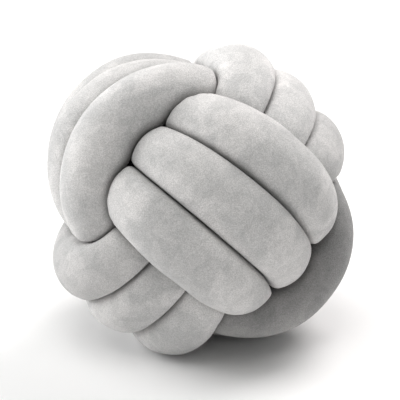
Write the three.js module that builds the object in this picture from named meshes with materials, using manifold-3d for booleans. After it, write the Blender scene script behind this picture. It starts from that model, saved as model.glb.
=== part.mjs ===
/*
 * Knot cushion.
 *
 * One long velvet tube, stuffed with fibre, is tied into a ball as a monkey's fist with three passes each
 * way, and its two ends are sewn together inside. Three bands of three side-by-side turns go round the ball,
 * each band at right angles to the others, over one of them and under the other. So the ball shows six faces
 * of three short, fat strands. It rests on its own pressed-in underside.
 *
 * Lengths are in millimetres and angles in degrees. +Z is up, and the floor is at z = 0.
 */
import * as THREE from "three";
import { mergeVertices } from "three/addons/utils/BufferGeometryUtils.js";
import Module from "manifold-3d";

// The knot, measured from the middle of the ball
const CROWN_REACH = 119.5; // to the middle of the tube where it lies outermost
const UNDER_REACH = 75.5; // to the middle of the tube where it dives under its neighbours
const DIVE_SHARPNESS = 0.54; // near 0 the tube follows a plain wave, at 2 it drops late and fast
const TURN_PITCH = 22.5; // angle between neighbouring turns of a band

// The stuffed tube
const TUBE_RADIUS = 38.5; // where nothing presses on it
const UNDER_RADIUS = 33; // inside the knot, where it is pulled thin
const EDGE_ROUNDING = 5.5; // how softly a free side rolls into a pressed one

// How the ball lies: where its middle is, and its turns about X, then Y, then Z
const BALL_MIDDLE = new THREE.Vector3(0.8, -0.9, 142);
const BALL_TURNS = { x: 136.5, y: -12.5, z: -77 };

// The six faces of the ball, as it lies: the band that crowns there, and on which side of the ball
const FACES = {
  front: { band: 0, side: 1 },
  back: { band: 0, side: -1 },
  left: { band: 1, side: 1 },
  right: { band: 1, side: -1 },
  low: { band: 2, side: 1 },
  high: { band: 2, side: -1 },
};

// The hand that ties the knot pulls each strand a little its own way, most at the middle of its face: it is
// lifted outwards by millimetres, leant to one side and slid along its run by degrees, and stretched or
// shortened towards both of its ends by degrees.
const PULLS = [
  // face, turn, lift, lean, slide, stretch
  ["front", -1, 3.5, -6, -3, 1.5],
  ["front", 0, 1.5, -4.5, 0, -1],
  ["front", 1, -1, -2.5, 3.5, -1.5],
  ["back", -1, 1, 2, -2, 1],
  ["back", 0, -1, 1, 1, 0],
  ["back", 1, 2, -1, 2, 0],
  ["left", -1, 4, 3, -1.5, 0],
  ["left", 0, 0.5, 1.2, 7, -2],
  ["left", 1, -1.5, -0.8, 7, 8.5],
  ["right", -1, 8, 0, 1, 0],
  ["right", 0, 4.5, 0, 2, 0],
  ["right", 1, 2, 0.5, 3.5, -0.5],
  ["low", -1, 0.5, -3, -0.5, -4],
  ["low", 0, -2.5, -1, -1, -4],
  ["low", 1, 0.5, -2.5, -2.5, 0],
  ["high", -1, -7, -3.5, 0, 0],
  ["high", 0, -8.5, -0.5, 1, 2.5],
  ["high", 1, -3.5, 1, 2, 0],
].map(([face, turn, lift, lean, slide, stretch]) => ({ ...FACES[face], turn, lift, lean, slide, stretch }));

// The solid
const RING_STEPS = 64;
const TUBE_SIDES = 20;
const CONTACT_OVERLAP = 1.2; // each of two neighbours runs this far into the other, so that they fuse
const FLOOR_OVERLAP = 1; // what is cut off level under the ball
const CORE_RADIUS = 118; // the stuffed middle, which fills what the strands close off
const CORE_DETAIL = 5;

const VELVET = new THREE.MeshStandardMaterial({ color: 0xb9b7b4, roughness: 0.95, metalness: 0 });

const wasm = await Module();
wasm.setup();

/** Returns the smaller of two lengths, with the change from one to the other rounded over. */
function smoothMin(a, b, rounding) {
  const share = THREE.MathUtils.clamp(0.5 + (0.5 * (b - a)) / rounding, 0, 1);
  return THREE.MathUtils.lerp(b, a, share) - rounding * share * (1 - share);
}

/** Finds how a strand was pulled by hand. */
function pullOn(band, turn, side) {
  return PULLS.find((row) => row.band === band && row.turn === turn && row.side === side);
}

/** Turns a point of the knot to where it lies in the resting ball. */
const lie = new THREE.Matrix4()
  .makeRotationFromEuler(
    new THREE.Euler(
      THREE.MathUtils.degToRad(BALL_TURNS.x),
      THREE.MathUtils.degToRad(BALL_TURNS.y),
      THREE.MathUtils.degToRad(BALL_TURNS.z),
      "ZYX",
    ),
  )
  .setPosition(BALL_MIDDLE);

/**
 * Follows the middle of the tube once round the ball. It weaves out over one band and in under the other,
 * twice a turn, as a wave with flattened crests.
 */
function turnCentreline(band, turn) {
  const runAxis = (band + 1) % 3;
  const sideAxis = (band + 2) % 3;
  const points = [];
  for (let step = 0; step < RING_STEPS; step += 1) {
    const angle = (step * 2 * Math.PI) / RING_STEPS;
    const pull = pullOn(band, turn, Math.cos(angle) > 0 ? 1 : -1);
    const share = Math.cos(angle) ** 2;
    const wave = Math.tanh(DIVE_SHARPNESS * Math.cos(2 * angle)) / Math.tanh(DIVE_SHARPNESS);
    const crown = (1 + wave) / 2;
    const reach = THREE.MathUtils.lerp(UNDER_REACH, CROWN_REACH, crown) + pull.lift * share;
    const lean = THREE.MathUtils.degToRad(TURN_PITCH * turn + pull.lean * share);
    const run = angle + THREE.MathUtils.degToRad(pull.slide * share + pull.stretch * Math.sin(2 * angle));
    const position = new THREE.Vector3()
      .setComponent(band, Math.cos(lean) * Math.cos(run))
      .setComponent(runAxis, Math.cos(lean) * Math.sin(run))
      .setComponent(sideAxis, Math.sin(lean))
      .multiplyScalar(reach)
      .applyMatrix4(lie);
    points.push({ position, radius: THREE.MathUtils.lerp(UNDER_RADIUS, TUBE_RADIUS, crown) });
  }
  return points;
}

/** Measures how far the side of the tube can go in one direction before a neighbour or the floor stops it. */
function squeezedRadius(point, direction, neighbours) {
  const { x, y, z } = point.position;
  let radius = point.radius;
  for (const neighbour of neighbours) {
    let nearest = CROWN_REACH; // further than any side of the tube
    for (const { position } of neighbour) {
      const dx = position.x - x;
      const dy = position.y - y;
      const dz = position.z - z;
      const along = dx * direction.x + dy * direction.y + dz * direction.z;
      if (along > 0) nearest = Math.min(nearest, (dx * dx + dy * dy + dz * dz) / (2 * along));
    }
    radius = smoothMin(radius, nearest + CONTACT_OVERLAP, EDGE_ROUNDING);
  }
  if (direction.z < 0) radius = smoothMin(radius, (z + FLOOR_OVERLAP) / -direction.z, EDGE_ROUNDING);
  return radius;
}

/** Makes a Manifold solid of a closed three.js geometry. */
function solidOf(geometry) {
  geometry.deleteAttribute("normal");
  geometry.deleteAttribute("uv");
  const merged = mergeVertices(geometry);
  const vertProperties = new Float32Array(merged.attributes.position.array);
  const triVerts = new Uint32Array(merged.index.array);
  return new wasm.Manifold(new wasm.Mesh({ numProp: 3, vertProperties, triVerts }));
}

/** Makes one closed turn of the tube, flattened where its neighbours and the floor press on it. */
function turnSolid(points, neighbours) {
  const corners = [];
  const triangles = [];
  points.forEach((point, step) => {
    const next = points[(step + 1) % RING_STEPS].position;
    const last = points[(step + RING_STEPS - 1) % RING_STEPS].position;
    const along = next.clone().sub(last).normalize();
    const out = point.position.clone().sub(BALL_MIDDLE).projectOnPlane(along).normalize();
    const across = along.clone().cross(out);
    for (let side = 0; side < TUBE_SIDES; side += 1) {
      const angle = (side * 2 * Math.PI) / TUBE_SIDES;
      const direction = out.clone().multiplyScalar(Math.cos(angle)).addScaledVector(across, Math.sin(angle));
      const radius = squeezedRadius(point, direction, neighbours);
      corners.push(...point.position.clone().addScaledVector(direction, radius).toArray());
      const a = step * TUBE_SIDES + side;
      const b = step * TUBE_SIDES + ((side + 1) % TUBE_SIDES);
      const c = (a + TUBE_SIDES) % (RING_STEPS * TUBE_SIDES);
      const d = (b + TUBE_SIDES) % (RING_STEPS * TUBE_SIDES);
      triangles.push(a, b, d, a, d, c);
    }
  });
  const geometry = new THREE.BufferGeometry();
  geometry.setAttribute("position", new THREE.Float32BufferAttribute(corners, 3));
  geometry.setIndex(triangles);
  return solidOf(geometry);
}

/** Ties the whole knot as one solid and cuts its underside level with the floor. */
function knotSolid() {
  const turns = [];
  for (const band of [0, 1, 2]) {
    for (const turn of [-1, 0, 1]) turns.push(turnCentreline(band, turn));
  }
  const core = new THREE.IcosahedronGeometry(CORE_RADIUS, CORE_DETAIL);
  core.translate(BALL_MIDDLE.x, BALL_MIDDLE.y, BALL_MIDDLE.z);
  let knot = solidOf(core);
  turns.forEach((points, index) => {
    const neighbours = turns.filter((_, other) => other !== index);
    knot = knot.add(turnSolid(points, neighbours));
  });
  const width = 4 * (CROWN_REACH + TUBE_RADIUS);
  const floor = new THREE.BoxGeometry(width, width, TUBE_RADIUS);
  floor.translate(0, 0, -TUBE_RADIUS / 2);
  return knot.subtract(solidOf(floor));
}

/** Turns a Manifold solid back into a three.js geometry. */
function geometryOf(solid) {
  const { vertProperties, triVerts } = solid.getMesh();
  const geometry = new THREE.BufferGeometry();
  geometry.setAttribute("position", new THREE.BufferAttribute(vertProperties, 3));
  geometry.setIndex(new THREE.BufferAttribute(triVerts, 1));
  geometry.computeVertexNormals();
  return geometry;
}

const knotTube = new THREE.Mesh(geometryOf(knotSolid()), VELVET);
knotTube.name = "knot_tube";

const cushion = new THREE.Group();
cushion.add(knotTube);

export default cushion;
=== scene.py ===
"""Knot cushion: the looks of one stuffed velvet tube tied into a ball as a three-pass monkey's fist."""
import math

import bpy
import numpy as np
from bpy.props import FloatProperty, FloatVectorProperty, IntProperty, PointerProperty
from mathutils import Matrix, Vector


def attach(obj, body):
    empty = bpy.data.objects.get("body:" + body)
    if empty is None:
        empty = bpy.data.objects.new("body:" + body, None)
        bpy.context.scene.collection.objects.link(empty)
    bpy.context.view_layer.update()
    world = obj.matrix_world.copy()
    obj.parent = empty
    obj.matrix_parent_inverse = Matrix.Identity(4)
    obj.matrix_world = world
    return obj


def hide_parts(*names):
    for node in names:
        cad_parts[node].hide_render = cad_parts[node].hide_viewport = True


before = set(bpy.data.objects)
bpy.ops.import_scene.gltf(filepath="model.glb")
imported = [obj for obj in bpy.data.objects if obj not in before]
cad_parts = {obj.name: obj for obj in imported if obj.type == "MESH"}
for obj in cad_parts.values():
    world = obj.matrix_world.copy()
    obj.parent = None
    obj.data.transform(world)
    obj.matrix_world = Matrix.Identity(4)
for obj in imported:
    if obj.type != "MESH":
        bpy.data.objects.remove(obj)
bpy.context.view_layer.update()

bl_info = {
    "name": "Knot cushion",
    "version": (1, 0, 0),
    "blender": (4, 5, 0),
    "location": "3D View > Sidebar > Knot cushion",
    "description": "Ties a stuffed velvet tube into a ball and lights it",
    "category": "Mesh",
}

NODE = "knot_tube"
BODY = "root"
MM = 0.001

# ---- The knot: faces of the ball, and the pulls of the hand that tied it --------------------------------

BANDS = 3
TURNS = 3

# face of the ball as it lies: (band that crowns there, 0 on its plus side or 1 on its minus side)
FACES = {
    "front": (0, 0),
    "back": (0, 1),
    "left": (1, 0),
    "right": (1, 1),
    "low": (2, 0),
    "high": (2, 1),
}

# The hand that ties the knot pulls each strand a little its own way, most at the middle of its face: it is
# lifted outwards by millimetres, leant to one side and slid along its run by degrees, and stretched or
# shortened towards both of its ends by degrees. Where it starts and where it ends it is plumper than the
# rest of the tube by millimetres and pushes its neighbours aside, or it is thinner and gives way.
PULLS = (
    # face, turn, lift, lean, slide, stretch, plumper at the start, plumper at the end
    ("front", -1, 3.5, -6.0, -3.0, 1.5, 2.0, 0.0),
    ("front", 0, 1.5, -4.5, 0.0, -1.0, 3.5, 0.0),
    ("front", 1, -1.0, -2.5, 3.5, -0.2, -2.8, 0.0),
    ("back", -1, 1.0, 2.0, -2.0, 1.0, 0.0, 0.0),
    ("back", 0, -1.0, 1.0, 1.0, 0.0, 0.0, 0.0),
    ("back", 1, 2.0, -1.0, 2.0, 0.0, 0.0, 0.0),
    ("left", -1, 4.0, 3.0, -1.5, 0.0, 0.0, 0.0),
    ("left", 0, 0.5, 1.2, 7.0, -2.0, 0.0, 0.0),
    ("left", 1, -1.5, -0.8, 7.0, 8.5, 0.0, 0.0),
    ("right", -1, 8.0, 0.0, 1.0, 0.0, 0.0, 0.0),
    ("right", 0, 4.5, 0.0, 2.0, 0.0, 0.0, 0.0),
    ("right", 1, 2.0, 0.5, 3.5, -0.5, 0.0, 0.0),
    ("low", -1, 0.5, -3.0, -0.5, -4.0, 0.0, 0.0),
    ("low", 0, -2.5, -1.0, -1.0, -4.0, 0.0, 0.0),
    ("low", 1, 0.5, -2.5, -2.5, 0.0, 0.0, -2.0),
    ("high", -1, -7.0, -3.5, 0.0, 0.0, 0.0, 0.0),
    ("high", 0, -8.5, -0.5, 1.0, 2.5, 0.0, 0.0),
    ("high", 1, -3.5, 1.0, 2.0, 0.0, 0.0, 0.0),
)

# Painted shade and light on the three turns of each face, as a share of the velvet's colour: darker on the
# right face, the back face and one turn of the low face, lighter on the high face.
PAINTED_STRAND_SHADING = {
    "front": (1.02, 1.0, 0.98),
    "back": (0.8, 0.82, 0.79),
    "left": (0.98, 0.98, 1.0),
    "right": (0.7, 0.68, 0.66),
    "low": (1.04, 0.99, 0.86),
    "high": (0.99, 1.2, 1.2),
}
PAINTED_SHADE_HIDDEN = 0.9  # painted shade where the tube is hidden under its neighbours
# Painted light towards one side of a strand and painted shade towards the other, as a share of its colour.
PAINTED_SHADING_ACROSS = {"left": (0.0, 0.0, 0.15), "right": (0.0, 0.0, 0.42)}

DENSE_STEPS = 360  # samples of one turn before the tube is divided evenly
SHIFT_ANGLE = 24.0  # degrees either side of the hidden pass in which a turn moves over to the next one
LINK_PULL = 75 * MM  # how far the tube runs straight on as it leaves one band for the next
END_START = 25.0  # degrees from the crown where a plumper end begins
END_SPAN = 40.0  # degrees over which it reaches its full size
END_FADE = 15.0  # degrees before the hidden pass over which it goes away again
OWN_REACH = 110 * MM  # along the tube, nearer stretches of it never press on each other
PRESS_REACH = 2.7  # tube radii between two middles, beyond which the strands don't touch
OUT_OF_THE_WAY = 4.0  # tube radii, a stop that is never met
LEAST_AHEAD = 1e-6  # metres in front of the side, below which nothing stops it
LEAST_DOWN = 1e-3  # share of a direction that points down, below which the floor is never met
PUSH_FIRMNESS = 1.6  # how far a plumper end pushes a thinner one, for each millimetre of difference
CREASE_DEPTH = 5 * MM  # pressed back this far, the painted shade in a crease is at its darkest
LUMP_SEED = 5  # of the random noise behind the lumps
CLOTH_FRAMES = 20  # frames of cloth before its shape is kept
CLOTH = {
    "quality": 5,
    "mass": 0.3,
    "tension_stiffness": 15.0,
    "compression_stiffness": 15.0,
    "shear_stiffness": 5.0,
    "bending_stiffness": 0.5,
}
PRESS_CHUNK = 24  # sections worked out at a time, to keep the arrays small

# ---- Velvet: the noises behind the nap and the pile -----------------------------------------------------

PATCH_SPREAD = (0.42, 0.58)  # noise below the first is one nap, above the second the other
SMALL_PATCH_SPREAD = (0.44, 0.56)
PILE_SPREAD = (0.3, 0.7)
SMALL_PATCHES = 3.2  # how many small patches fit along a large one
PATCH_SHARES = (0.65, 0.35)  # of the large and of the small patches
PATCH_NOISE = (2.0, 0.5)  # detail and roughness
PILE_NOISE = (2.0, 0.7)
PATCH_DISTORTIONS = (0.6, 1.2)  # of the large and of the small patches
BUMP_STRENGTH = 0.35
BUMP_DEPTH = 0.4 * MM
VELVET_ROUGHNESS = 0.9
VELVET_SPECULAR = 0.15

# ---- The stage, in metres -------------------------------------------------------------------------------

SENSOR = 36.0
FLAT_RADIUS = 2.6
SWEEP_RADIUS = 3.0
SWEEP_STEPS = 24
SWEEP_SIDES = 96
LIGHT_DISTANCE = 2.0
FLOOR_ROUGHNESS = 0.8
SKY_COLOUR = (0.98, 1.0, 0.99)
LIGHTS = (
    # name, azimuth and elevation as seen from the ball in degrees, size, the setting with its power, colour
    ("front", 250.0, 68.0, 1.4, "front_power", (1.0, 0.99, 0.975)),
    ("right_back", 46.0, 50.0, 1.2, "right_back_power", (1.0, 0.968, 0.96)),
    ("left_back", 162.0, 14.0, 1.2, "left_back_power", (1.0, 1.0, 1.0)),
)


def pull_table():
    """Pulls as an array by band, turn and side, in the columns of PULLS, in metres and radians."""
    table = np.zeros((BANDS, TURNS, 2, 6))
    for face, turn, lift, lean, slide, stretch, first, last in PULLS:
        band, side = FACES[face]
        table[band, turn + 1, side] = (lift * MM, *np.radians((lean, slide, stretch)), first * MM, last * MM)
    return table


def face_table(shades, rest):
    """A table of painted shade and light by face as an array over band, turn and side, with the rest at a
    value of its own.
    """
    table = np.full((BANDS, TURNS, 2), rest)
    for face, values in shades.items():
        band, side = FACES[face]
        table[band, :, side] = values
    return table


def smoothstep(x):
    """0 below 0, 1 above 1, and x * x * (3 - 2 * x) between."""
    x = np.clip(x, 0.0, 1.0)
    return x * x * (3.0 - 2.0 * x)


def smooth_min(a, b, rounding):
    """The smaller of a and b, with the change from one to the other rounded over."""
    share = np.clip(0.5 + 0.5 * (b - a) / rounding, 0.0, 1.0)
    return b * (1.0 - share) + a * share - rounding * share * (1.0 - share)


def unit(v):
    """Rows of v at length one."""
    return v / np.linalg.norm(v, axis=-1, keepdims=True)


def band_path(band, knot):
    """
    Middle of the tube along the three turns of one band, from hidden pass to hidden pass.

    At angle a round the band the tube lies at reach * (cos(lean) * (cos(a) * crown + sin(a) * run) +
    sin(lean) * side). Its reach is a wave of twice a turn with flattened crests, out over one band and in
    under the other, and its lean moves over by one pitch each time it passes out of sight.
    """
    begin = -90.0 + SHIFT_ANGLE
    finish = 360.0 * TURNS - 90.0 - SHIFT_ANGLE
    degrees = np.linspace(begin, finish, DENSE_STEPS * TURNS)
    number = np.floor((degrees + 90.0) / 360.0).astype(int)
    moved = sum(
        smoothstep((degrees - (360.0 * step - 90.0) + SHIFT_ANGLE) / (2.0 * SHIFT_ANGLE))
        for step in range(1, TURNS)
    )
    angle = np.radians(degrees)
    side = (np.cos(angle) < 0).astype(int)
    lift, lean_pull, slide, stretch, first, last = np.moveaxis(pull_table()[band, 2 - number, side], -1, 0)
    share = np.cos(angle) ** 2
    from_crown = np.degrees(np.arcsin(np.sin(angle) * np.sign(np.cos(angle))))
    off_crown = np.abs(from_crown)
    near_end = smoothstep((off_crown - END_START) / END_SPAN) * smoothstep((90.0 - off_crown) / END_FADE)
    plumper = near_end * np.where(from_crown < 0, first, last)
    crown = 0.5 + 0.5 * np.tanh(knot.dive * np.cos(2 * angle)) / math.tanh(knot.dive)
    reach = knot.under_reach + (knot.crown_reach - knot.under_reach) * crown + lift * share
    lean = knot.turn_pitch * (1.0 - moved) + lean_pull * share
    run = angle + slide * share + stretch * np.sin(2 * angle)
    points = np.empty((len(degrees), 3))
    points[:, band] = np.cos(lean) * np.cos(run)
    points[:, (band + 1) % 3] = np.cos(lean) * np.sin(run)
    points[:, (band + 2) % 3] = np.sin(lean)
    free = knot.under_radius + (knot.tube_radius - knot.under_radius) * crown + plumper
    # Painted shading of the strand: its face's painted shade or light, going over to the painted shade of
    # hidden stretches towards the dives, then painted light to one side and painted shade to the other.
    nap = PAINTED_SHADE_HIDDEN + (face_table(PAINTED_STRAND_SHADING, 1.0)[band, 2 - number, side] - PAINTED_SHADE_HIDDEN) * smoothstep(2.0 * share)
    painted_shading_across = face_table(PAINTED_SHADING_ACROSS, 0.0)[band, 2 - number, side] * smoothstep(2.0 * share)
    traits = np.stack([free, plumper, nap, painted_shading_across], axis=1)
    return points * reach[:, None], traits, band * TURNS + number


def link_path(before, after, knot, group):
    """
    Middle of the tube where it leaves one band for the next, out of sight inside the ball.

    A cubic that starts and ends along the tube: with t from 0 to 1, the usual four Hermite weights of its
    two ends and of its two directions there.
    """
    t = np.linspace(0.0, 1.0, DENSE_STEPS // 4)[1:-1, None]
    start, end = before[-1], after[0]
    leave = unit(before[-1] - before[-2]) * LINK_PULL
    arrive = unit(after[1] - after[0]) * LINK_PULL
    points = (
        (2 * t**3 - 3 * t**2 + 1) * start
        + (t**3 - 2 * t**2 + t) * leave
        + (3 * t**2 - 2 * t**3) * end
        + (t**3 - t**2) * arrive
    )
    traits = np.tile((knot.under_radius, 0.0, PAINTED_SHADE_HIDDEN, 0.0), (len(points), 1))
    return points, traits, np.full(len(points), group)


def tube_path(knot, sections):
    """
    Middle of the whole tube, divided evenly, with its traits, its turn number and its length.

    The traits are columns: free radius, how much plumper, painted shading, and how much painted light it gets
    to one side and painted shade to the other.
    The three bands of three turns follow each other, each joined to the next by a hidden link, and the last
    link is where the two ends of the tube are sewn together.
    """
    bands = [band_path(band, knot) for band in range(BANDS)]
    stretches = []
    for band, this in enumerate(bands):
        following = bands[(band + 1) % BANDS]
        stretches.append(this)
        stretches.append(link_path(this[0], following[0], knot, BANDS * TURNS + band))
    points, traits, group = (np.concatenate(column) for column in zip(*stretches))
    closed = np.vstack([points, points[:1]])
    travelled = np.concatenate([[0.0], np.cumsum(np.linalg.norm(np.diff(closed, axis=0), axis=1))])
    length = travelled[-1]
    places = np.arange(sections) * length / sections
    even = np.stack([np.interp(places, travelled, closed[:, axis]) for axis in range(3)], axis=1)
    columns = np.vstack([traits, traits[:1]]).T
    traits = np.stack([np.interp(places, travelled, column) for column in columns])
    group = group[np.minimum(np.searchsorted(travelled, places, side="right") - 1, len(group) - 1)]
    return even, traits, group, length


def lie(points, knot):
    """Points of the knot turned and raised to where they are in the resting ball."""
    x, y, z = knot.ball_turns
    turn = Matrix.Rotation(z, 3, "Z") @ Matrix.Rotation(y, 3, "Y") @ Matrix.Rotation(x, 3, "X")
    return points @ np.array(turn).T + np.array(knot.ball_middle)


def pressed_radius(points, directions, radius, plumper, group, length, knot):
    """
    How far the side of the tube can go in each direction before something stops it.

    The side at a point p of the middle, in the direction n, meets another stretch of tube with its middle
    at q half way between the two, moved towards the thinner one by the difference e times a firmness: at
    |q - p| * (|q - p| + 2 * firmness * e) / (2 * n . (q - p)). Each turn of the tube in reach presses in
    this way, then the floor. Each stop is blended in turn, by the edge rounding, with the radius so far.
    """
    radius = radius.copy()
    count = len(points)
    spacing = length / count
    place = np.arange(count)
    far = OUT_OF_THE_WAY * knot.tube_radius
    for start in range(0, count, PRESS_CHUNK):
        rows = slice(start, min(start + PRESS_CHUNK, count))
        between = points[None, :, :] - points[rows, None, :]
        square = (between**2).sum(axis=2)
        apart = np.abs(place[None, :] - place[rows, None])
        apart = np.minimum(apart, count - apart) * spacing
        presses = (apart > OWN_REACH) & (square < (PRESS_REACH * knot.tube_radius) ** 2)
        pressing = presses.any(axis=0)
        for number in np.unique(group[pressing]):
            columns = np.flatnonzero(pressing & (group == number))
            ahead = np.einsum("imk,ijk->imj", directions[rows], between[:, columns])
            distance = np.sqrt(square[:, columns])
            plumpness = plumper[rows, None] - plumper[None, columns]
            halves = distance * (distance + 2.0 * PUSH_FIRMNESS * plumpness)
            stop = halves[:, None, :] / (2.0 * np.maximum(ahead, LEAST_AHEAD))
            stop = np.where(presses[:, None, columns] & (ahead > LEAST_AHEAD), stop, far).min(axis=2)
            radius[rows] = smooth_min(radius[rows], stop - knot.contact_gap, knot.edge_rounding)
    down = -directions[:, :, 2]
    floor = np.where(down > LEAST_DOWN, points[:, 2][:, None] / np.maximum(down, LEAST_DOWN), far)
    return smooth_min(radius, floor, knot.edge_rounding)


def lumps(sections, sides, length, width, size, seed):
    """
    Smooth unevenness of about the given size all over a closed grid, with a spread of one.

    Seeded noise, kept only where its wavelength is longer than the size: each wave of the grid is weighed
    by exp(-(size / wavelength)^2).
    """
    waves = np.fft.fft2(np.random.default_rng(seed).standard_normal((sections, sides)))
    along = np.fft.fftfreq(sections, length / sections)[:, None]
    across = np.fft.fftfreq(sides, width / sides)[None, :]
    field = np.fft.ifft2(waves * np.exp(-(size**2) * (along**2 + across**2))).real
    field -= field.mean()
    return field / field.std()


def tube_frame(knot, sections):
    """Middle of the tube, its traits, turn numbers, length, and its outward and sideways axes."""
    points, traits, group, length = tube_path(knot, sections)
    points = lie(points, knot)
    along = unit(np.roll(points, -1, axis=0) - np.roll(points, 1, axis=0))
    out = points - np.array(knot.ball_middle)
    out = unit(out - (out * along).sum(axis=1, keepdims=True) * along)
    return points, traits, group, length, out, np.cross(along, out)


def tube_surface(knot, sections, sides, swell=None):
    """
    Skin of the whole tube as a grid of points, sections by sides, closed both ways.

    Round each point p of the middle, the side at angle b lies at p + radius * (cos(b) * out + sin(b) *
    across), where out points away from the ball's middle and across is square to it and to the tube. The
    radius is the free one with its lumps and swelling, pressed back by whatever is in its way. The skin can
    still cross itself a little in the tight bends inside the ball. The painted shading is the strand's own
    times (1 + the share across * sin(b)), painted light to one side and painted shade to the other, and
    gets darker by a share of the crease shade where the tube is pressed back: painted shade in the creases.
    """
    points, (free, plumper, nap, painted_shading_across), group, length, out, across = tube_frame(knot, sections)
    angle = np.arange(sides) * 2.0 * math.pi / sides
    directions = (
        np.cos(angle)[None, :, None] * out[:, None, :] + np.sin(angle)[None, :, None] * across[:, None, :]
    )
    radius = np.repeat(free[:, None], sides, axis=1)
    if swell is not None:
        width = 2.0 * math.pi * knot.tube_radius
        radius += swell
        radius += knot.lump_height * lumps(sections, sides, length, width, knot.lump_size, LUMP_SEED)
    pressed = pressed_radius(points, directions, radius, plumper, group, length, knot)
    nap = nap[:, None] * (1.0 + painted_shading_across[:, None] * np.sin(angle)[None, :])
    # Painted shade in the creases, where the tube is pressed back.
    nap *= 1.0 - knot.painted_crease_shade * smoothstep((radius - pressed) / CREASE_DEPTH)
    return points[:, None, :] + pressed[:, :, None] * directions, directions, nap, length


def inflate(knot):
    """
    How far the stuffing pushes the velvet out, from Blender's cloth under pressure, as a map on the tube.

    A coarse tube is blown up for a few frames with its length and girth held by the cloth's threads. What
    each point moved outwards is kept, with d turned into cap * tanh(d / cap) so that none moves too far.
    """
    sections, sides = knot.sections // 2, knot.sides // 2
    grid, directions, _, length = tube_surface(knot, sections, sides)
    width = 2.0 * math.pi * knot.tube_radius
    scene = bpy.context.scene
    draft = bpy.data.objects.new("velvet_draft", grid_mesh("velvet_draft", grid, length, width))
    scene.collection.objects.link(draft)
    cloth = draft.modifiers.new("cloth", "CLOTH")
    for setting, value in CLOTH.items():
        setattr(cloth.settings, setting, value)
    cloth.settings.use_pressure = True
    cloth.settings.uniform_pressure_force = knot.pressure
    cloth.settings.effector_weights.gravity = 0.0
    cloth.collision_settings.use_collision = False
    cloth.point_cache.frame_start = 1
    cloth.point_cache.frame_end = CLOTH_FRAMES
    for number in range(1, CLOTH_FRAMES + 1):
        scene.frame_set(number)
    evaluated = draft.evaluated_get(bpy.context.evaluated_depsgraph_get())
    blown = np.empty(sections * sides * 3, dtype=np.float32)
    evaluated.data.vertices.foreach_get("co", blown)
    moved = ((blown.reshape(grid.shape) - grid) * directions).sum(axis=2)
    scene.frame_set(1)
    mesh = draft.data
    bpy.data.objects.remove(draft)
    bpy.data.meshes.remove(mesh)
    return knot.swell_cap * np.tanh(moved / knot.swell_cap)


def finer(field, sections, sides):
    """A map on a closed grid, worked out on a finer one by padding its waves with zeros."""
    waves = np.fft.fftshift(np.fft.fft2(field))
    rows, columns = field.shape
    padded = np.zeros((sections, sides), dtype=complex)
    row, column = (sections - rows) // 2, (sides - columns) // 2
    padded[row : row + rows, column : column + columns] = waves
    return np.fft.ifft2(np.fft.ifftshift(padded)).real * (sections * sides) / (rows * columns)


def grid_mesh(name, grid, length, width):
    """Mesh of a grid that closes both ways, with a UV map in metres: along the tube and round it."""
    sections, sides = grid.shape[:2]
    row, column = np.meshgrid(np.arange(sections), np.arange(sides), indexing="ij")
    rows = np.stack([row, row, row + 1, row + 1], axis=-1).reshape(-1)
    columns = np.stack([column, column + 1, column + 1, column], axis=-1).reshape(-1)
    corners = (rows % sections) * sides + columns % sides
    mesh = bpy.data.meshes.new(name)
    mesh.vertices.add(sections * sides)
    mesh.vertices.foreach_set("co", grid.reshape(-1).astype(np.float32))
    mesh.loops.add(len(corners))
    mesh.loops.foreach_set("vertex_index", corners.astype(np.int32))
    mesh.polygons.add(sections * sides)
    mesh.polygons.foreach_set("loop_start", np.arange(0, len(corners), 4, dtype=np.int32))
    mesh.polygons.foreach_set("use_smooth", np.ones(sections * sides, dtype=bool))
    uv = np.stack([rows * length / sections, columns * width / sides], axis=1)
    mesh.uv_layers.new(name="cloth").data.foreach_set("uv", uv.reshape(-1).astype(np.float32))
    mesh.update(calc_edges=True)
    mesh.validate()
    return mesh


# ---- Velvet -------------------------------------------------------------------------------------------


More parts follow.
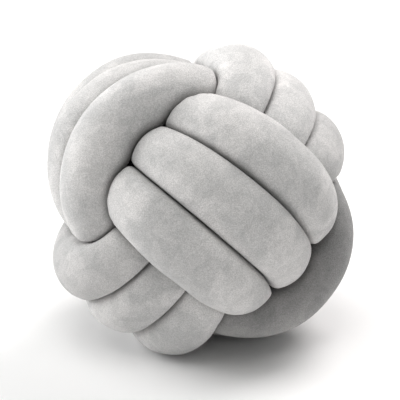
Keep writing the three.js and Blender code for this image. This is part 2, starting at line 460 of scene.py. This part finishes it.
def velvet_material(look):
    """
    Short-pile velvet: a grey that shifts in soft patches where the nap lies another way, fine specks of
    pile, painted shade and light from the tube's attribute, a sheen at the edges, and a low bump of pile.
    """
    material = bpy.data.materials.new("velvet")
    material.use_nodes = True
    tree = material.node_tree
    nodes, links = tree.nodes, tree.links
    nodes.clear()
    output = nodes.new("ShaderNodeOutputMaterial")
    shader = nodes.new("ShaderNodeBsdfPrincipled")
    links.new(shader.outputs["BSDF"], output.inputs["Surface"])
    shader.inputs["Roughness"].default_value = VELVET_ROUGHNESS
    shader.inputs["Specular IOR Level"].default_value = VELVET_SPECULAR
    shader.inputs["Sheen Weight"].default_value = look.sheen
    shader.inputs["Sheen Roughness"].default_value = look.sheen_roughness
    place = nodes.new("ShaderNodeTexCoord")

    def noise(scale, detail, roughness, distortion=0.0):
        node = nodes.new("ShaderNodeTexNoise")
        node.inputs["Scale"].default_value = scale
        node.inputs["Detail"].default_value = detail
        node.inputs["Roughness"].default_value = roughness
        node.inputs["Distortion"].default_value = distortion
        links.new(place.outputs["Object"], node.inputs["Vector"])
        return node.outputs["Fac"]

    def spread(value, low, high):
        node = nodes.new("ShaderNodeMapRange")
        node.interpolation_type = "SMOOTHSTEP"
        node.inputs["From Min"].default_value = low
        node.inputs["From Max"].default_value = high
        links.new(value, node.inputs["Value"])
        return node.outputs["Result"]

    def blend(share, a, b):
        node = nodes.new("ShaderNodeMix")
        node.data_type = "RGBA"
        links.new(share, node.inputs["Factor"])
        for socket, colour in ((node.inputs["A"], a), (node.inputs["B"], b)):
            if isinstance(colour, bpy.types.NodeSocket):
                links.new(colour, socket)
            else:
                socket.default_value = (*colour, 1.0)
        return node.outputs["Result"]

    def maths(operation, a, b):
        node = nodes.new("ShaderNodeMath")
        node.operation = operation
        for socket, value in zip(node.inputs, (a, b)):
            if isinstance(value, bpy.types.NodeSocket):
                links.new(value, socket)
            else:
                socket.default_value = value
        return node.outputs["Value"]

    def between(value, low, high):
        node = nodes.new("ShaderNodeMapRange")
        node.inputs["To Min"].default_value = low
        node.inputs["To Max"].default_value = high
        links.new(value, node.inputs["Value"])
        return node.outputs["Result"]

    large = noise(1.0 / look.patch_size, *PATCH_NOISE, PATCH_DISTORTIONS[0])
    small = noise(SMALL_PATCHES / look.patch_size, *PATCH_NOISE, PATCH_DISTORTIONS[1])
    large = maths("MULTIPLY", spread(large, *PATCH_SPREAD), PATCH_SHARES[0])
    small = maths("MULTIPLY", spread(small, *SMALL_PATCH_SPREAD), PATCH_SHARES[1])
    patches = maths("ADD", large, small)
    pile = spread(noise(1.0 / look.pile_size, *PILE_NOISE), *PILE_SPREAD)
    # Painted shade and light of the tube, read from its attribute, darken and lighten the velvet's colour.
    nap = nodes.new("ShaderNodeAttribute")
    nap.attribute_name = "nap"
    shade = maths("MULTIPLY", nap.outputs["Fac"], between(pile, 1.0 - look.speckle, 1.0 + look.speckle))
    stroked = blend(patches, look.dark_nap, look.light_nap)
    scaled = nodes.new("ShaderNodeVectorMath")
    scaled.operation = "SCALE"
    links.new(stroked, scaled.inputs["Vector"])
    links.new(shade, scaled.inputs["Scale"])
    bump = nodes.new("ShaderNodeBump")
    bump.inputs["Strength"].default_value = BUMP_STRENGTH
    bump.inputs["Distance"].default_value = BUMP_DEPTH
    links.new(pile, bump.inputs["Height"])
    links.new(bump.outputs["Normal"], shader.inputs["Normal"])
    links.new(scaled.outputs["Vector"], shader.inputs["Base Color"])
    return material


# ---- Stage ----------------------------------------------------------------------------------------------


def area_light(name, azimuth, elevation, size, power, colour, middle):
    """A square soft box in the direction of the two angles, turned to face the ball's middle."""
    around, up = math.radians(azimuth), math.radians(elevation)
    out = Vector((math.cos(up) * math.cos(around), math.cos(up) * math.sin(around), math.sin(up)))
    data = bpy.data.lights.new(name, "AREA")
    data.shape = "SQUARE"
    data.size = size
    data.energy = power
    data.color = colour
    light = bpy.data.objects.new(name, data)
    light.location = middle + out * LIGHT_DISTANCE
    light.rotation_euler = out.to_track_quat("Z", "Y").to_euler()
    light.visible_camera = False
    bpy.context.scene.collection.objects.link(light)


def pale_sweep(studio):
    """
    A pale floor, flat round the ball and swept up into a wall far from it.

    At distance r from the middle it lies at 0 up to the flat radius, and beyond it at sweep - sqrt(sweep^2
    - (r - flat)^2).
    """
    bend = np.linspace(0.0, 0.5 * math.pi, SWEEP_STEPS)
    reach = np.concatenate([[0.0], FLAT_RADIUS + SWEEP_RADIUS * np.sin(bend)])
    height = np.concatenate([[0.0], SWEEP_RADIUS * (1.0 - np.cos(bend))])
    angle = np.arange(SWEEP_SIDES) * 2.0 * math.pi / SWEEP_SIDES
    points = np.stack(
        [
            reach[:, None] * np.cos(angle),
            reach[:, None] * np.sin(angle),
            np.broadcast_to(height[:, None], (len(reach), SWEEP_SIDES)),
        ],
        axis=-1,
    )
    ring, side = np.meshgrid(np.arange(len(reach) - 1), np.arange(SWEEP_SIDES), indexing="ij")
    after = (side + 1) % SWEEP_SIDES
    corners = np.stack([(ring, side), (ring + 1, side), (ring + 1, after), (ring, after)], axis=-1)
    quads = (corners[0] * SWEEP_SIDES + corners[1]).reshape(-1, 4)
    mesh = bpy.data.meshes.new("floor")
    mesh.from_pydata(points.reshape(-1, 3).tolist(), [], quads.tolist())
    mesh.polygons.foreach_set("use_smooth", np.ones(len(quads), dtype=bool))
    material = bpy.data.materials.new("pale_floor")
    material.use_nodes = True
    shader = material.node_tree.nodes["Principled BSDF"]
    shader.inputs["Base Color"].default_value = (*studio.floor_colour, 1.0)
    shader.inputs["Roughness"].default_value = FLOOR_ROUGHNESS
    shader.inputs["Specular IOR Level"].default_value = 0.0
    mesh.materials.append(material)
    floor = bpy.data.objects.new("floor", mesh)
    bpy.context.scene.collection.objects.link(floor)


def sky(strength):
    """An even, slightly cool light from all round."""
    world = bpy.data.worlds.new("studio")
    world.use_nodes = True
    background = world.node_tree.nodes["Background"]
    background.inputs["Color"].default_value = (*SKY_COLOUR, 1.0)
    background.inputs["Strength"].default_value = strength
    bpy.context.scene.world = world


def camera(middle, studio):
    """A long lens level with the horizon's line, looking down at the ball by the camera's elevation."""
    right = Vector((1.0, 0.0, 0.0))
    up = Vector((0.0, math.sin(studio.elevation), math.cos(studio.elevation)))
    back = Vector((0.0, -math.cos(studio.elevation), math.sin(studio.elevation)))
    data = bpy.data.cameras.new("camera")
    data.lens = studio.lens
    data.sensor_width = SENSOR
    view = bpy.data.objects.new("camera", data)
    place = middle + back * studio.distance + right * studio.aim_right + up * studio.aim_up
    view.matrix_world = Matrix.Translation(place) @ Matrix((right, up, back)).transposed().to_4x4()
    bpy.context.scene.collection.objects.link(view)
    bpy.context.scene.camera = view


# ---- Settings, operators and panel ----------------------------------------------------------------------


class KnotSizes(bpy.types.PropertyGroup):
    """Sizes of the tube and of the ball that it is tied into."""

    crown_reach: FloatProperty(
        name="Crown reach",
        description="From the ball's middle to the tube's where the tube lies outermost",
        default=119.5 * MM,
        unit="LENGTH",
    )
    under_reach: FloatProperty(
        name="Under reach",
        description="From the ball's middle to the tube's where the tube dives under its neighbours",
        default=75.5 * MM,
        unit="LENGTH",
    )
    dive: FloatProperty(
        name="Dive",
        description="Near 0 the tube follows a plain wave, at 2 it drops late and fast",
        default=0.54,
    )
    turn_pitch: FloatProperty(
        name="Turn pitch",
        description="Angle between neighbouring turns of a band",
        default=math.radians(22.5),
        subtype="ANGLE",
    )
    tube_radius: FloatProperty(
        name="Tube radius",
        description="Radius where nothing presses on the tube",
        default=38.5 * MM,
        unit="LENGTH",
    )
    under_radius: FloatProperty(
        name="Under radius",
        description="Radius inside the knot, where the tube is pulled thin",
        default=33.0 * MM,
        unit="LENGTH",
    )
    edge_rounding: FloatProperty(
        name="Edge rounding",
        description="How softly a free side rolls into a pressed one",
        default=9.5 * MM,
        unit="LENGTH",
    )
    contact_gap: FloatProperty(
        name="Contact gap",
        description="Half of the gap that is left between two strands",
        default=0.5 * MM,
        unit="LENGTH",
    )
    ball_middle: FloatVectorProperty(
        name="Ball middle",
        description="Where the ball's middle is",
        default=(0.8 * MM, -0.9 * MM, 142.0 * MM),
        subtype="TRANSLATION",
        unit="LENGTH",
    )
    ball_turns: FloatVectorProperty(
        name="Ball turns",
        description="Turns about X, then Y, then Z that bring the knot to where it rests",
        default=(math.radians(136.5), math.radians(-12.5), math.radians(-77.0)),
        subtype="EULER",
    )
    # Painted shade in the creases: how much the velvet's colour is darkened where the tube is pressed.
    painted_crease_shade: FloatProperty(
        name="Crease shade",
        description="How much darker the pile is where the tube is pressed",
        default=0.16,
        subtype="FACTOR",
    )
    lump_height: FloatProperty(
        name="Lump height",
        description="Spread of the unevenness of the stuffing",
        default=0.35 * MM,
        unit="LENGTH",
    )
    lump_size: FloatProperty(
        name="Lump size", description="Size of the lumps of stuffing", default=45.0 * MM, unit="LENGTH"
    )
    pressure: FloatProperty(name="Pressure", description="Of the stuffing on the cloth", default=4.0)
    swell_cap: FloatProperty(
        name="Swell cap",
        description="The farthest that the stuffing may push the velvet",
        default=2.0 * MM,
        unit="LENGTH",
    )
    sections: IntProperty(name="Sections", description="Sections along the whole tube", default=1280)
    sides: IntProperty(name="Sides", description="Points round the tube", default=76)


class VelvetLook(bpy.types.PropertyGroup):
    """Colours and finish of the velvet."""

    light_nap: FloatVectorProperty(
        name="Light nap",
        description="Colour where the pile lies towards the light",
        default=(0.622, 0.612, 0.605),
        subtype="COLOR",
    )
    dark_nap: FloatVectorProperty(
        name="Dark nap",
        description="Colour where the pile was stroked the other way",
        default=(0.482, 0.48, 0.477),
        subtype="COLOR",
    )
    patch_size: FloatProperty(
        name="Patch size", description="Size of the patches of nap", default=58 * MM, unit="LENGTH"
    )
    pile_size: FloatProperty(
        name="Pile size", description="Size of the specks", default=1.0 * MM, unit="LENGTH"
    )
    speckle: FloatProperty(name="Speckle", description="How strong the specks are", default=0.2)
    sheen: FloatProperty(name="Sheen", description="Weight of the pile's sheen", default=0.15)
    sheen_roughness: FloatProperty(
        name="Sheen roughness", description="How widely the sheen spreads from the edges", default=0.4
    )


class StudioSetup(bpy.types.PropertyGroup):
    """Camera, floor and lights."""

    elevation: FloatProperty(
        name="Elevation",
        description="How far the camera looks down",
        default=math.radians(22.0),
        subtype="ANGLE",
    )
    distance: FloatProperty(
        name="Distance", description="From the ball's middle to the camera", default=1.745, unit="LENGTH"
    )
    lens: FloatProperty(name="Lens", description="Focal length in millimetres", default=161.8)
    aim_right: FloatProperty(
        name="Aim right", description="Camera's step to its right", default=0.3 * MM, unit="LENGTH"
    )
    aim_up: FloatProperty(
        name="Aim up", description="Camera's step upwards", default=-3.2 * MM, unit="LENGTH"
    )
    floor_colour: FloatVectorProperty(
        name="Floor", description="Colour of the floor", default=(0.93, 0.93, 0.93), subtype="COLOR"
    )
    sky_strength: FloatProperty(name="Sky", description="Strength of the even light", default=0.2)
    right_back_power: FloatProperty(
        name="Right back", description="Power of the light behind, at the right", default=34.5, unit="POWER"
    )
    left_back_power: FloatProperty(
        name="Left back", description="Power of the low light behind, at the left", default=36.0, unit="POWER"
    )
    front_power: FloatProperty(
        name="Front", description="Power of the light in front, high up", default=23.0, unit="POWER"
    )


class CUSHION_OT_tie_tube(bpy.types.Operator):
    """Ties the stuffed velvet tube into its ball"""

    bl_idname = "cushion.tie_tube"
    bl_label = "Tie the velvet tube"

    def execute(self, context):
        knot = context.scene.knot_sizes
        swell = inflate(knot)
        swell = finer(swell, knot.sections, knot.sides)
        grid, _, nap, length = tube_surface(knot, knot.sections, knot.sides, swell)
        width = 2.0 * math.pi * knot.tube_radius
        mesh = grid_mesh("velvet_tube", grid, length, width)
        # The painted shade and light are kept on the mesh as an attribute for the velvet.
        shade = mesh.attributes.new("nap", "FLOAT", "POINT")
        shade.data.foreach_set("value", nap.reshape(-1).astype(np.float32))
        tube = bpy.data.objects.new("velvet_tube", mesh)
        context.scene.collection.objects.link(tube)
        tube.data.materials.append(velvet_material(context.scene.velvet_look))
        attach(tube, BODY)
        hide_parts(NODE)
        self.report({"INFO"}, f"tube of {length:.2f} m")
        return {"FINISHED"}


class CUSHION_OT_light_stage(bpy.types.Operator):
    """Sets the floor, the lights and the camera"""

    bl_idname = "cushion.light_stage"
    bl_label = "Light the stage"

    def execute(self, context):
        studio = context.scene.studio_setup
        middle = Vector(context.scene.knot_sizes.ball_middle)
        camera(middle, studio)
        pale_sweep(studio)
        sky(studio.sky_strength)
        for name, azimuth, elevation, size, setting, colour in LIGHTS:
            area_light(name, azimuth, elevation, size, getattr(studio, setting), colour, middle)
        context.scene.view_settings.view_transform = "Standard"
        return {"FINISHED"}


class CUSHION_PT_sidebar(bpy.types.Panel):
    """Settings and steps of the knot cushion"""

    bl_idname = "CUSHION_PT_sidebar"
    bl_label = "Knot cushion"
    bl_space_type = "VIEW_3D"
    bl_region_type = "UI"
    bl_category = "Knot cushion"

    def draw(self, context):
        layout = self.layout
        for name in SETTINGS:
            group = getattr(context.scene, name)
            box = layout.box()
            for key in group.bl_rna.properties.keys():
                if key not in ("rna_type", "name"):
                    box.prop(group, key)
        for operator in (CUSHION_OT_tie_tube, CUSHION_OT_light_stage):
            layout.operator(operator.bl_idname)


SETTINGS = {"knot_sizes": KnotSizes, "velvet_look": VelvetLook, "studio_setup": StudioSetup}
CLASSES = (*SETTINGS.values(), CUSHION_OT_tie_tube, CUSHION_OT_light_stage, CUSHION_PT_sidebar)


def register():
    """Makes the settings, the operators and the panel known to Blender."""
    for kind in CLASSES:
        bpy.utils.register_class(kind)
    for name, kind in SETTINGS.items():
        setattr(bpy.types.Scene, name, PointerProperty(type=kind))


def unregister():
    """Takes them away again."""
    for name in SETTINGS:
        delattr(bpy.types.Scene, name)
    for kind in reversed(CLASSES):
        bpy.utils.unregister_class(kind)


def main():
    """Registers the add-on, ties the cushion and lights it."""
    register()
    bpy.ops.cushion.tie_tube()
    bpy.ops.cushion.light_stage()


if __name__ == "__main__":
    main()
